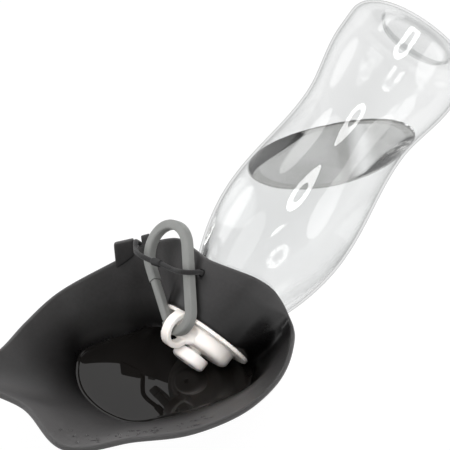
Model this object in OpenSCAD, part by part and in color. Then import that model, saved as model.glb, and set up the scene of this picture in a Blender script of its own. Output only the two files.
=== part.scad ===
// Travel water bottle for dogs: a clear bottle tilted over the silicone bowl
// that its cap clamps. Millimetres, +Z up, the bowl's flat foot on Z = 0,
// the bottle leaning towards +X in the plane Y = 0.

/* [Bottle] */
// Tilt of the bottle's axis above the table, degrees
bottle_tilt = 39.5; // [37:0.5:42]
// X of the point where the bottle's neck meets its shoulder line
neck_x = 45; // [43:1:48]
// Height of that point above the table
neck_z = 31; // [30:0.5:33]
// Length from that point to the standing ring of the base
bottle_l = 177; // [150:1:220]
// Radius at the lower end of the shoulder
shoulder_r = 19; // [18:0.5:20]
// Largest radius of the belly
belly_r = 34.4; // [30:0.2:36]
// Distance of the belly from the neck point
belly_s = 62; // [55:1:70]
// Radius of the grip waist
waist_r = 29.3; // [25:0.2:31]
// Distance of the waist from the neck point
waist_s = 118; // [105:1:125]
// Largest radius near the base
base_r = 35; // [31:0.2:38]
// Distance of the base bulge from the base
base_bulge = 19; // [14:1:26]
// Corner radius of the base
base_corner = 9; // [6:0.5:12]
// Radius of the ring that the bottle stands on when upright
base_ring_r = 21; // [17:0.5:24]
// Depth of the push-up inside that ring
base_push = 4; // [2:0.5:7]
// Wall of the blown bottle
bottle_wall = 1.2; // [0.8:0.1:1.6]

/* [Neck and cap] */
// Outer radius of the bottle's threaded neck
neck_r = 15; // [14:0.1:15.5]
// Bore radius of the neck
neck_bore = 12.4; // [11:0.1:13]
// Lead of the screw thread, one turn
thread_lead = 4; // [3:0.5:5]
// Clearance between neck and cap skirt
thread_gap = 0.3; // [0.2:0.05:0.5]
// Wall of the cap's skirt
skirt_wall = 3.2; // [2.6:0.1:3.6]
// Length of the skirt behind the flange
skirt_l = 13; // [12:0.5:14]
// Radius of the flange that clamps the bowl
flange_r = 24; // [22.5:0.5:25.5]
// Thickness of the flange
flange_t = 2; // [1.5:0.1:2.5]
// Distance of the flange's rear face ahead of the neck point
flange_s = 7.5; // [7:0.1:8]
// Radius of the boss in front of the flange
boss_r = 17; // [16:0.5:18]
// Length of the boss
boss_l = 8; // [7:0.5:9]
// Edge rounding of the boss
boss_round = 3; // [1.5:0.5:4]
// Bore radius of the flow chamber inside the boss
chamber_r = 9; // [7.5:0.5:9.5]
// Outer radius of the nozzle tube
nozzle_r = 4; // [3.5:0.1:4.5]
// Bore radius of the nozzle tube
nozzle_bore = 2.4; // [2:0.1:2.7]
// Length of the nozzle tube in front of the boss
nozzle_l = 5; // [4.4:0.1:5]
// Clearance around the post that plugs the outlet
post_gap = 0.1; // [0.06:0.01:0.2]
// Thickness of the sealing ring on the neck's lip
gasket_t = 1.5; // [1:0.1:2]

/* [Spout] */
// Outer radius of the push-pull spout
spout_r = 8.8; // [8:0.1:9.5]
// Length of the spout
spout_l = 6.6; // [6.2:0.1:7.2]
// Edge rounding of the spout
spout_round = 2.2; // [1:0.1:2.6]
// Travel of the spout between open and shut
spout_travel = 1.5; // [1:0.1:1.5]
// Running clearance of the spout on the nozzle
spout_gap = 0.08; // [0.05:0.01:0.1]
// Radius of the spout's outlet hole
outlet_r = 1.6; // [1.2:0.1:1.8]
// Section radius of the spout's sealing ring
seal_r = 0.7; // [0.5:0.05:0.8]

/* [Hanging eye] */
// Turn of the eye about the bottle's axis, degrees
eye_turn = -2; // [-5:1:3]
// Distance of the eye's centre from the bottle's axis
eye_out = 20.2; // [19.8:0.1:20.6]
// Distance of the eye's centre ahead of the flange's front
eye_ahead = 6.3; // [6.2:0.1:6.6]
// Outer radius of the eye
eye_r = 9.3; // [8.8:0.1:9.4]
// Hole radius of the eye
eye_hole = 6.4; // [6:0.1:6.6]
// Width of the eye's band
eye_w = 4.8; // [4:0.2:5.4]

/* [Carabiner] */
// Radius of the wide end's centre line
hook_top_r = 13.4; // [12.8:0.2:14]
// Radius of the narrow end's centre line
hook_low_r = 8.1; // [7.6:0.1:8.6]
// Distance between the two ends' centres
hook_l = 33; // [31:0.5:35]
// Width of the bar in the carabiner's plane
bar_w = 4.6; // [4.2:0.1:4.8]
// Thickness of the bar across that plane
bar_t = 4.9; // [4.4:0.1:5]
// Roll, pitch and yaw of the carabiner as it leans on the bowl's wall
hook_roll = 39; // [38:0.5:40]
// Pitch of the carabiner
hook_pitch = 40; // [39:0.5:41]
// Yaw of the carabiner
hook_yaw = 112; // [111:0.5:113]
// Length of the gate
gate_l = 21; // [18:0.5:23]
// Thickness of the gate
gate_w = 3.6; // [3:0.1:4]
// Gap between the gate and the bar
gate_gap = 0.3; // [0.2:0.05:0.5]

/* [Bowl] */
// Wall of the silicone
bowl_wall = 2.6; // [2:0.1:3]
// Reach of the fish-tail corners in front of the foot's centre
tail_reach = 75; // [70:1:82]
// Depth of the notch between the corners
tail_notch = 5; // [3:0.5:8]
// Half-width between the fish-tail corners
tail_half_w = 38; // [34:1:43]
// Half-width of the bowl at the rim
bowl_half_w = 68; // [64:1:73]
// Height of the rim along the front and sides
rim_h = 34; // [31:0.5:38]
// Half-width of the basin below the fold line
basin_half_w = 51; // [48:1:53]
// Height of the fold line
fold_h = 23; // [21:0.5:25]
// Reach of the basin in front of the foot's centre
basin_front = 24; // [20:1:30]
// Reach of the basin behind the foot's centre
basin_back = 63; // [62:0.5:66]
// Inset of the flat foot from the basin's wall
foot_inset = 16; // [12:0.5:20]
// Distance of the cup's rim behind the neck point, along the axis
cup_s = 19; // [17:0.5:22]
// Clearance between the cup and the bottle's shoulder
cup_gap = 3.6; // [3:0.1:4]
// Radius of the clamped pad around the neck hole
pad_r = 24.6; // [24.4:0.1:25.4]
// Height of the ear above the rim
ear_h = 9; // [6:0.5:11]

/* [Elastic loop] */
// Radius of the elastic cord
loop_r = 1.25; // [1:0.05:1.5]
// Clearance around the cord in its hole
loop_gap = 0.35; // [0.2:0.05:0.6]
// Outer radius of the joint sleeve
sleeve_r = 1.9; // [1.7:0.05:2.2]
// Length of the joint sleeve
sleeve_l = 6; // [4:0.5:8]

/* [Hidden] */
$fn = 96;

// Point at distance s along the bottle's axis from the neck point, r from the
// axis and turned phi from straight up towards +Y.
function on_axis(s, r, phi) =
    [neck_x + s * cos(bottle_tilt) - r * cos(phi) * sin(bottle_tilt),
     r * sin(phi),
     neck_z + s * sin(bottle_tilt) + r * cos(phi) * cos(bottle_tilt)];

// Outer radius of the bottle at s: shoulder, belly, waist and base bulge,
// each joined to the next by a curve that is level at both ends.
bulge_s = bottle_l - base_bulge;
shoulder_s = skirt_l - flange_s + 2.5;
function ease(a, b, x) = a + (b - a) * (1 - cos(180 * x)) / 2;
function bottle_r(s) =
    s < belly_s
    ? shoulder_r + (belly_r - shoulder_r)
      * pow(sin(90 * max(s - shoulder_s, 0) / (belly_s - shoulder_s)), 0.8)
    : s < waist_s ? ease(belly_r, waist_r, (s - belly_s) / (waist_s - belly_s))
    : s < bulge_s ? ease(waist_r, base_r, (s - waist_s) / (bulge_s - waist_s))
    : base_r;

skirt_bore = neck_r + thread_gap;
skirt_r = skirt_bore + skirt_wall;
flange_front = flange_s + flange_t;
boss_front = flange_front + boss_l;
lip_s = flange_s - gasket_t;
spout_rear = boss_front + spout_travel;
spout_front = spout_rear + spout_l;
spout_wall = 1.2;
chamber_wall = 1.6;
seal_s = spout_rear + 2;
post_r = outlet_r - post_gap;
post_front = spout_front - spout_wall - 0.5;

// The silicone between the flange and a bead on the skirt. The grid's plane
// lies pad_skim in front of the pad's true face, which is cut flat.
pad_skim = 0.3;
pad_t = bowl_wall - 0.5;
pad_s = -flange_s - pad_skim;
bead_l = 1.6;

// Tangent-limited smooth curve through four points: value at t from b to c.
function unit(v) = v / max(norm(v), 0.001);
function through(a, b, c) =
    unit(unit(b - a) + unit(c - b)) * min(norm(b - a), norm(c - b));
function bend(a, b, c, d, t) =
    let (m = through(a, b, c), n = through(b, c, d))
    b + m * t + (3 * (c - b) - 2 * m - n) * t * t + (m + n - 2 * (c - b)) * t * t * t;
function around(list, k, t) = let (n = len(list))
    bend(list[(k + n - 1) % n], list[k % n], list[(k + 1) % n], list[(k + 2) % n], t);
// Rounded corner at b of the line a, b, c, cut back by q along both sides.
function corner(a, b, c, q, t) = let (
        p = b + unit(a - b) * min(q, 0.45 * norm(a - b)),
        r = b + unit(c - b) * min(q, 0.45 * norm(c - b)))
    (1 - t) * (1 - t) * p + 2 * t * (1 - t) * b + t * t * r;

// Nineteen stations around the bowl, from the top of the cup round by the far
// side. Each has a point on the rim, the fold line, the basin's wall and the
// floor's edge, and the length of its rounded folds.
floor_z = bowl_wall;
wall_z = 8;
cup_r = bottle_r(cup_s) + cup_gap + bowl_wall;
far_foot = basin_half_w - foot_inset;
near_foot = basin_half_w - foot_inset - 14;
near_wall = basin_half_w - 21;
pad_fold = 2.5;
open_fold = 7;
stations = [
    [on_axis(cup_s, cup_r, 0), on_axis(pad_s, pad_r, 0),
     on_axis(pad_s, pad_r, 180), [basin_back, 0, floor_z], pad_fold],
    [on_axis(cup_s + 1.5, cup_r + 1, 26), on_axis(pad_s, pad_r, 40),
     on_axis(pad_s, pad_r, 148), [basin_back - 2, 10, floor_z], pad_fold],
    [on_axis(cup_s + 2, cup_r + 9, 50), on_axis(pad_s, pad_r, 74),
     on_axis(pad_s, pad_r, 116), [basin_back - 8, 19, floor_z], pad_fold],
    [[neck_x - 10, basin_half_w - 4, rim_h + 22],
     [neck_x - 3, basin_half_w - 8, fold_h + 8],
     [neck_x, basin_half_w - 9, wall_z], [neck_x - 3, far_foot - 8, floor_z], 5],
    [[neck_x - 17, basin_half_w + 6.5, rim_h + 12],
     [neck_x - 17, basin_half_w + 3, fold_h],
     [neck_x - 17, basin_half_w - 2, wall_z], [neck_x - 19, far_foot - 2, floor_z], open_fold],
    [[0, bowl_half_w - 3, rim_h + 3], [0, basin_half_w + 7, fold_h - 1],
     [0, basin_half_w + 1, wall_z], [2, far_foot - 2, floor_z], open_fold],
    [[-28, bowl_half_w - 12, rim_h + 0.5], [-22, basin_half_w - 2, fold_h - 2],
     [-12, basin_half_w - 11, wall_z], [-8, far_foot - 9, floor_z], open_fold],
    [[-51, tail_half_w + 7, rim_h], [-38, tail_half_w - 3, fold_h - 3],
     [-basin_front + 4, tail_half_w - 13, wall_z],
     [-14, far_foot - 15, floor_z], open_fold],
    [[-tail_reach, tail_half_w, rim_h], [-50, tail_half_w - 18, fold_h - 3],
     [-basin_front + 1, tail_half_w - 25, wall_z],
     [-17, far_foot - 24, floor_z], open_fold],
    [[-tail_reach + tail_notch, 0, rim_h], [-49, 0, fold_h - 3],
     [-basin_front, 0, wall_z], [-17, 26 - near_foot, floor_z], open_fold],
    [[-tail_reach, -tail_half_w, rim_h], [-50, 17 - tail_half_w, fold_h - 3],
     [-basin_front + 3, 18 - near_wall, wall_z],
     [-13, 20 - near_foot, floor_z], open_fold],
    [[-50, 16 - bowl_half_w, rim_h], [-35, 5 - tail_half_w, fold_h - 2],
     [-basin_front + 8, 12 - near_wall, wall_z],
     [-8, 15 - near_foot, floor_z], open_fold],
    [[-28, 4 - bowl_half_w, rim_h - 0.5], [-20, 8 - basin_half_w, fold_h],
     [-8, 9 - near_wall, wall_z], [-1, 11 - near_foot, floor_z], open_fold],
    [[0, -bowl_half_w, rim_h], [1, 4 - basin_half_w, fold_h + 1],
     [4, 5 - near_wall, wall_z], [8, 7 - near_foot, floor_z], open_fold],
    [[27, 7 - bowl_half_w, rim_h + 0.5], [27, 7 - basin_half_w, fold_h + 1],
     [26, 1 - near_wall, wall_z], [24, 2 - near_foot, floor_z], open_fold],
    [[47, 19 - bowl_half_w, rim_h + 2], [44, 15 - basin_half_w, fold_h + 2],
     [42, 1 - near_wall, wall_z], [39, -near_foot, floor_z], 5],
    [[neck_x + 18, 35 - bowl_half_w, rim_h + 6], on_axis(pad_s + 5, pad_r + 6, -98),
     on_axis(pad_s - 1, pad_r + 2.5, -126), [basin_back - 10, 2 - near_foot, floor_z], 4],
    [on_axis(cup_s + 5.4, cup_r - 0.2, -69), on_axis(pad_s, pad_r, -74),
     on_axis(pad_s, pad_r, -138), [basin_back - 4, 8 - near_foot, floor_z], pad_fold],
    [on_axis(cup_s + 4.5, cup_r + 0.5, -45), on_axis(pad_s, pad_r, -38),
     on_axis(pad_s, pad_r, -158), [basin_back - 1, 14 - near_foot, floor_z], pad_fold],
];
count = len(stations);
per_station = 4;
// Columns of the grid, in quarters of a station. The ear stands on the rim in
// four of them, its top a straight edge and its sides steep.
ear_at = 3 * per_station + 1;
ear_end = ear_at + 3;
spots = concat([for (i = [0 : ear_at - 1]) i], [ear_at - 0.1],
               [for (i = [ear_at : ear_end]) i], [ear_end + 0.1],
               [for (i = [ear_end + 1 : count * per_station - 1]) i]);
ear_top = [[neck_x - 12.5, basin_half_w + 0.5, rim_h + 16 + ear_h],
           [neck_x - 18, basin_half_w + 5.5, rim_h + 13.5 + ear_h]];
// One level, 0 at the floor's edge to 3 at the rim, of one column.
function level(x, k) = let (list = [for (p = stations) p[3 - k]])
    around(list, floor(x / per_station), x / per_station - floor(x / per_station));
function fold_size(x) = let (k = floor(x / per_station), t = x / per_station - k)
    stations[k][4] * (1 - t) + stations[(k + 1) % count][4] * t;
floor_mid = [18, 0, floor_z];
function column(x) = let (
        f = level(x, 0), w = level(x, 1), d = level(x, 2), r = level(x, 3),
        q = fold_size(x), e = (x - ear_at) / (ear_end - ear_at))
    concat(
        [floor_mid + (f - floor_mid) * 0.5],
        [for (t = [0 : 0.5 : 1]) corner(floor_mid, f, w, q, t)],
        [for (t = [0 : 0.5 : 1]) corner(f, w, d, q, t)],
        [for (t = [0 : 0.5 : 1]) corner(w, d, r, q, t)],
        [r + (d - r) * 0.1],
        [e < 0 || e > 1 ? r : ear_top[0] * (1 - e) + ear_top[1] * e]);

// Closed skin between the grid and its offset by the wall, away from the inside.
module shell_skin(cols, mid, wall) {
    n = len(cols);
    m = len(cols[0]);
    half = n * m;
    function id(i, j) = (i % n) * m + j;
    function at(i, j) = cols[(i + n) % n][min(max(j, 0), m - 1)];
    function out(i, j) = j == 0 ? [0, 0, -1]
        : unit(cross(at(i + 1, j) - at(i - 1, j), at(i, j + 1) - at(i, j - 1)));
    inner = [for (i = [0 : n - 1]) for (j = [0 : m - 1]) at(i, j)];
    outer = [for (i = [0 : n - 1]) for (j = [0 : m - 1])
             let (p = at(i, j) + wall * out(i, j)) [p[0], p[1], max(p[2], 0)]];
    polyhedron(
        points = concat(inner, outer, [mid, mid - [0, 0, wall]]),
        faces = concat(
            [for (i = [0 : n - 1]) for (j = [0 : m - 2]) each [
                [id(i, j), id(i + 1, j + 1), id(i, j + 1)],
                [id(i, j), id(i + 1, j), id(i + 1, j + 1)]]],
            [for (i = [0 : n - 1]) for (j = [0 : m - 2]) each [
                [half + id(i, j), half + id(i, j + 1), half + id(i + 1, j + 1)],
                [half + id(i, j), half + id(i + 1, j + 1), half + id(i + 1, j)]]],
            [for (i = [0 : n - 1]) each [
                [id(i, m - 1), half + id(i + 1, m - 1), half + id(i, m - 1)],
                [id(i, m - 1), id(i + 1, m - 1), half + id(i + 1, m - 1)]]],
            [for (i = [0 : n - 1]) each [
                [2 * half, id(i + 1, 0), id(i, 0)],
                [2 * half + 1, half + id(i, 0), half + id(i + 1, 0)]]]),
        convexity = 8);
}
module bottle_frame() {
    translate([neck_x, 0, neck_z]) rotate([0, 90 - bottle_tilt, 0]) children();
}
module tube(r, bore, from, to) {
    translate([0, 0, from]) difference() {
        cylinder(r = r, h = to - from);
        translate([0, 0, -1]) cylinder(r = bore, h = to - from + 2);
    }
}

module bowl() {
    color([0.16, 0.16, 0.17])
    difference() {
        shell_skin([for (x = spots) column(x)], floor_mid, bowl_wall);
        bottle_frame() {
            translate([0, 0, -flange_s - 3]) cylinder(r = skirt_r, h = 10);
            translate([0, 0, -flange_s - 3]) cylinder(r = pad_r - 0.4, h = 3);
            translate([0, 0, -flange_s + pad_t]) cylinder(r = bead_r + 0.6, h = 4);
        }
        translate(loop_eye) rotate([0, -loop_eye_tilt, 0])
            cylinder(r = loop_r + loop_gap, h = 8, center = true);
    }
}

// Outer wall line of the bottle as [radius, s], from the shoulder to the base.
shoulder_steps = 40;
side_end = bottle_l - base_corner;
side_line = [for (k = [0 : shoulder_steps])
             let (s = shoulder_s + (side_end - shoulder_s) * k / shoulder_steps)
             [bottle_r(s), s]];
side_last = side_line[shoulder_steps][0];
function corner_arc(r, grow) = [for (a = [15 : 15 : 90])
    [r - base_corner + (base_corner + grow) * cos(a),
     side_end + (base_corner + grow) * sin(a)]];

module bottle() {
    color([0.85, 0.9, 0.92, 0.4])
    bottle_frame() rotate_extrude() polygon(concat(
        [[neck_bore, -lip_s], [neck_r, -lip_s], [neck_r, shoulder_s]],
        side_line,
        corner_arc(side_last, 0),
        [[base_ring_r, bottle_l], [base_ring_r - base_push, bottle_l - base_push],
         [0, bottle_l - base_push],
         [0, bottle_l - base_push - bottle_wall],
         [base_ring_r - base_push, bottle_l - base_push - bottle_wall],
         [base_ring_r, bottle_l - bottle_wall]],
        [for (k = [5 : -1 : 0]) corner_arc(side_last, -bottle_wall)[k]],
        [for (k = [shoulder_steps : -1 : 1]) side_line[k] - [bottle_wall, 0]],
        [[neck_bore, shoulder_s + bottle_wall]]));
}

module neck_gasket() {
    color([0.9, 0.9, 0.88])
    bottle_frame() tube(neck_r - 0.2, neck_bore, -flange_s, -lip_s);
}

module rounded_disc(r, h, round) {
    rotate_extrude() polygon(concat(
        [[0, 0], [0, h], [r, h]],
        [for (a = [0 : 15 : 90]) [r - round + round * cos(a), round - round * sin(a)]]));
}

module cap() {
    color([0.93, 0.92, 0.9])
    bottle_frame() {
        difference() {
            union() {
                translate([0, 0, -flange_front]) cylinder(r = flange_r, h = flange_t);
                translate([0, 0, -flange_s]) cylinder(r = skirt_r, h = skirt_l);
                translate([0, 0, -flange_s + pad_t]) cylinder(r = bead_r, h = bead_l);
                translate([0, 0, -boss_front]) rounded_disc(boss_r, boss_l, boss_round);
                translate([0, 0, -boss_front - nozzle_l])
                    cylinder(r = nozzle_r, h = nozzle_l + 1);
                difference() {
                    hanging_eye() cylinder(r = eye_r, h = eye_w, center = true);
                    translate([0, 0, -flange_s]) cylinder(r = 2 * flange_r, h = eye_r);
                }
            }
            translate([0, 0, -flange_s]) cylinder(r = skirt_bore, h = skirt_l + 1);
            translate([0, 0, -boss_front + chamber_wall])
                cylinder(r = chamber_r, h = boss_l + flange_t);
            translate([0, 0, -boss_front - nozzle_l - 1])
                cylinder(r = nozzle_bore, h = nozzle_l + 1 + 2 * chamber_wall);
            hanging_eye() cylinder(r = eye_hole, h = 3 * eye_w, center = true);
        }
        translate([0, 0, -post_front]) cylinder(r = post_r, h = post_front - boss_front + 1);
        translate([-nozzle_bore - 0.5, -post_r / 2, -boss_front - 1])
            cube([2 * nozzle_bore + 1, post_r, 2]);
    }
}
// The eye stands on the flange and the boss, its hole along the tangent.
module hanging_eye() {
    rotate([0, 0, -eye_turn])
    translate([-eye_out, 0, -flange_front - eye_ahead])
    rotate([90, 0, 0]) children();
}

module spout() {
    color([0.95, 0.94, 0.92])
    bottle_frame() difference() {
        translate([0, 0, -spout_front]) rounded_disc(spout_r, spout_l, spout_round);
        translate([0, 0, -spout_front + spout_wall])
            cylinder(r = nozzle_r + spout_gap, h = spout_l);
        translate([0, 0, -spout_front - 1]) cylinder(r = outlet_r, h = spout_wall + 2);
        translate([0, 0, -seal_s]) rotate_extrude()
            translate([nozzle_r, -seal_r - 0.1]) square([2 * seal_r + 0.2, 2 * seal_r + 0.2]);
    }
}

module spout_seal() {
    color([0.2, 0.2, 0.2])
    bottle_frame() translate([0, 0, -seal_s])
        rotate_extrude() translate([nozzle_r + seal_r + 0.05, 0]) circle(r = seal_r, $fn = 24);
}

// Outline of the carabiner, grown by o from its centre line.
hook_lean = asin((hook_top_r - hook_low_r) / hook_l);
function hook_line(o) = concat(
    [for (k = [0 : 24]) let (a = -hook_lean + (180 + 2 * hook_lean) * k / 24)
     [(hook_top_r + o) * cos(a), hook_low_r + hook_l + (hook_top_r + o) * sin(a)]],
    [for (k = [0 : 24]) let (a = 180 + hook_lean + (180 - 2 * hook_lean) * k / 24)
     [(hook_low_r + o) * cos(a), hook_low_r + (hook_low_r + o) * sin(a)]]);
eye_centre = on_axis(-flange_front - eye_ahead, eye_out, eye_turn);
hook_shift = [-2.1, -5.2, 2.8];
module hook_frame() {
    translate(eye_centre + hook_shift) rotate([hook_roll, hook_pitch, hook_yaw])
    rotate([90, 0, 0]) children();
}
// The gate's root on the limb's centre line, its length along +Y.
gate_foot = 3;
module gate_frame() {
    translate([hook_low_r * cos(hook_lean) + gate_foot * sin(hook_lean),
               hook_low_r - hook_low_r * sin(hook_lean) + gate_foot * cos(hook_lean)])
    rotate([0, 0, -hook_lean]) children();
}
module carabiner_body() {
    color([0.6, 0.62, 0.61])
    hook_frame() linear_extrude(bar_t, center = true) difference() {
        polygon(hook_line(bar_w / 2));
        polygon(hook_line(-bar_w / 2));
        gate_frame() translate([-bar_w, -gate_w / 2 - gate_gap])
            square([2 * bar_w, gate_l + gate_w / 2 + 2 * gate_gap]);
    }
}
module carabiner_gate() {
    color([0.66, 0.68, 0.67])
    hook_frame() gate_frame() {
        cylinder(r = gate_w / 2, h = bar_t - 0.6, center = true);
        translate([-gate_w / 2, 0, -bar_t / 2 + 0.3]) cube([gate_w, gate_l, bar_t - 0.6]);
    }
}

// Route of the elastic loop: out of its hole, over both limbs of the
// carabiner, over the rim beside the ear and back behind the wall.
loop_eye_s = 12;
loop_eye_in = 3.6;
loop_eye = on_axis(loop_eye_s, cup_r - loop_eye_in, 0);
loop_eye_tilt = 46;
loop_points = [
    [36.2, 0, 60.6], [33.5, -0.3, 62.5], [29.2, -0.5, 63.9], [26, 2.4, 64.2], [25.9, 9.6, 62.5],
    [26.2, 18.2, 61.7], [25.9, 25.7, 60.7], [25.6, basin_half_w - 18.7, 60.4],
    [26.7, basin_half_w - 13.1, 59.9], [29.6, basin_half_w - 8.6, 59.1],
    [33.6, basin_half_w - 3.6, 59.2], [37, basin_half_w - 0.4, 57],
    [40.4, basin_half_w - 2.5, 53.6], [44.2, basin_half_w - 10, 53.4],
    [46.2, basin_half_w - 18, 54.4], [45.5, basin_half_w - 27, 56.6],
    [43.5, 15.6, 58.3], [41.6, 8.3, 59], [39.9, 3, 58.7], [38.4, 0, 58.6],
];
module cord(points, r, sides) {
    n = len(points);
    function at(i) = points[(i + n) % n];
    function ring(i) = let (t = unit(at(i + 1) - at(i - 1)), u = unit(cross(t, [0, 0, 1])),
        v = cross(t, u)) [for (k = [0 : sides - 1]) let (a = 360 * k / sides)
        at(i) + r * (cos(a) * u + sin(a) * v)];
    polyhedron(
        points = [for (i = [0 : n - 1]) each ring(i)],
        faces = [for (i = [0 : n - 1]) for (k = [0 : sides - 1])
            let (a = i * sides, b = ((i + 1) % n) * sides, l = (k + 1) % sides) each [
                [a + k, b + k, b + l], [a + k, b + l, a + l]]],
        convexity = 10);
}
loop_fine = 2;
function loop_at(t) = around(loop_points, floor(t), t - floor(t));
module elastic_loop() {
    color([0.13, 0.13, 0.14])
    cord([for (i = [0 : loop_fine * len(loop_points) - 1]) loop_at(i / loop_fine)], loop_r, 8);
}
module loop_sleeve() {
    a = loop_at(5.1);
    b = loop_at(5.9);
    t = unit(b - a);
    color([0.2, 0.2, 0.21])
    translate((a + b) / 2) rotate([0, acos(t[2]), atan2(t[1], t[0])])
        tube(sleeve_r, loop_r + 0.05, -sleeve_l / 2, sleeve_l / 2);
}
bead_r = skirt_r + 1.6;

bowl();
bottle();
neck_gasket();
cap();
spout();
spout_seal();
carabiner_body();
carabiner_gate();
elastic_loop();
loop_sleeve();
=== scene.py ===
import math

import bmesh
import bpy
import numpy as np
from mathutils import Matrix


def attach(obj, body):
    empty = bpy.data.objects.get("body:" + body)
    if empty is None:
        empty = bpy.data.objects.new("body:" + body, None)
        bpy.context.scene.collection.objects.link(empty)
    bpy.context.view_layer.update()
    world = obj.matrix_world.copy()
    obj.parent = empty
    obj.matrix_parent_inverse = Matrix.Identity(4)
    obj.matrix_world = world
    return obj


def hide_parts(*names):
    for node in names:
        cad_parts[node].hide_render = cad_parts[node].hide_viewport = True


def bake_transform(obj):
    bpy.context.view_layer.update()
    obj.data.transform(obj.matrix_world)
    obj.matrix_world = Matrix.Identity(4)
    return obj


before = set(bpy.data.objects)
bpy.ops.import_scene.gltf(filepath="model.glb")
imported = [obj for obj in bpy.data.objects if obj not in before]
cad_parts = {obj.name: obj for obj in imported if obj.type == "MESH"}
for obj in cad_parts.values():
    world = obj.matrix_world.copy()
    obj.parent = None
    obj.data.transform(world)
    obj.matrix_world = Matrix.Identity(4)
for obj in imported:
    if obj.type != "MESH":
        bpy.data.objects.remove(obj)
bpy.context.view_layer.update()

# ---------------------------------------------------------------------------
# The view: a long lens in front of the fish-tail, a little to the bowl's near
# side, looking down into the bowl with the bottle leaning away to the right.
view_from = np.array([-0.3994, -0.5012, 0.4377])
view_azimuth, view_elevation = math.radians(-41.92), math.radians(27.86)
back = np.array([math.sin(view_azimuth) * math.cos(view_elevation),
                 -math.cos(view_azimuth) * math.cos(view_elevation),
                 math.sin(view_elevation)])
right = np.array([math.cos(view_azimuth), math.sin(view_azimuth), 0.0])
up = np.cross(back, right)
lens = bpy.data.cameras.new("camera")
lens.sensor_width = 36
lens.lens = 127.92
lens.clip_start = 0.02
camera = bpy.data.objects.new("camera", lens)
camera.matrix_world = Matrix([*zip(right, up, back, view_from), (0, 0, 0, 1)])
bpy.context.collection.objects.link(camera)
bpy.context.scene.camera = camera
bpy.context.scene.view_settings.view_transform = "Standard"


# ---------------------------------------------------------------------------
# The elastic loop: a braided, rubber-cored cord closed into a ring. It passes
# through the hole in the cup's wall, over the carabiner's two limbs and over
# the rim beside the ear, and comes back to the hole behind the wall.
def unit(v):
    """Vectors scaled to length one, along the last axis."""
    return v / np.maximum(np.linalg.norm(v, axis=-1, keepdims=True), 1e-9)


def ring_curve(points, x):
    """Closed curve through the points, x counted in points. Between two of them it is a
    cubic; each end's slope is the mean direction of its two sides, as long as the shorter."""
    k = np.floor(x).astype(int)
    t = (x - k)[:, None]
    a, b, c, d = (points[(k + i) % len(points)] for i in (-1, 0, 1, 2))

    def slope(p, q, r):
        short = np.minimum(np.linalg.norm(q - p, axis=1), np.linalg.norm(r - q, axis=1))
        return unit(unit(q - p) + unit(r - q)) * short[:, None]
    m, n = slope(a, b, c), slope(b, c, d)
    return b + m * t + (3 * (c - b) - 2 * m - n) * t**2 + (m + n - 2 * (c - b)) * t**3


def tube(path, radius, sides):
    """Round tube: a circle of the radius across the path at each of its points, its ends
    closed at their centres. Rows follow the path, columns go round."""
    along = unit(np.gradient(path, axis=0))
    side = unit(np.cross(along, [0, 0, 1]))
    rise = np.cross(along, side)
    turn = np.linspace(0, 2 * np.pi, sides + 1)[None, :, None]
    size = np.broadcast_to(np.asarray(radius, float), len(path))[:, None, None]
    walls = path[:, None] + size * (np.cos(turn) * side[:, None] + np.sin(turn) * rise[:, None])
    ends = [np.repeat(path[i][None, None], sides + 1, axis=1) for i in (0, -1)]
    return np.concatenate([ends[0], walls, ends[1]])


def surface(name, *grids, sharp=40, marks=None):
    """One mesh from grids of points in millimetres, each rows x columns x 3 with a face
    between every four neighbours. Points that meet are merged, and all faces are turned
    round if the volume they enclose comes out negative. marks gives a value per point."""
    points = np.concatenate([g.reshape(-1, 3) for g in grids]) * 0.001
    faces, start = [], 0
    for g in grids:
        number = start + np.arange(g.shape[0] * g.shape[1]).reshape(g.shape[:2])
        faces.append(np.stack([number[:-1, :-1], number[:-1, 1:],
                               number[1:, 1:], number[1:, :-1]], axis=-1).reshape(-1, 4))
        start += g.shape[0] * g.shape[1]
    faces = np.concatenate(faces)
    p, q, r, s = (points[faces[:, i]] for i in range(4))
    volume = (p * np.cross(q, r)).sum() + (p * np.cross(r, s)).sum()
    mesh = bpy.data.meshes.new(name)
    mesh.from_pydata(points.tolist(), [], (faces if volume > 0 else faces[:, ::-1]).tolist())
    for key, values in (marks or {}).items():
        mesh.attributes.new(key, "FLOAT", "POINT").data.foreach_set(
            "value", np.asarray(values, np.float32).ravel())
    shell = bmesh.new()
    shell.from_mesh(mesh)
    bmesh.ops.remove_doubles(shell, verts=shell.verts, dist=2e-7)
    bmesh.ops.dissolve_degenerate(shell, edges=shell.edges, dist=1e-8)
    shell.to_mesh(mesh)
    shell.free()
    mesh.shade_smooth()
    mesh.set_sharp_from_angle(angle=math.radians(sharp))
    piece = bpy.data.objects.new(name, mesh)
    bpy.context.collection.objects.link(piece)
    return piece


class Level:
    """A shader socket as a number. Sums, products and powers add Math nodes."""

    def __init__(self, finish, socket):
        self.finish, self.socket = finish, socket

    def math(self, operation, first, second=0.0):
        return self.finish.node("ShaderNodeMath", {"operation": operation},
                                {0: first, 1: second})

    def __add__(self, other):
        return self.math("ADD", self, other)

    def __mul__(self, other):
        return self.math("MULTIPLY", self, other)

    def __sub__(self, other):
        return self.math("SUBTRACT", self, other)

    def __rsub__(self, other):
        return self.math("SUBTRACT", other, self)

    def __pow__(self, other):
        return self.math("POWER", self, other)

    __radd__ = __add__
    __rmul__ = __mul__


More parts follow.
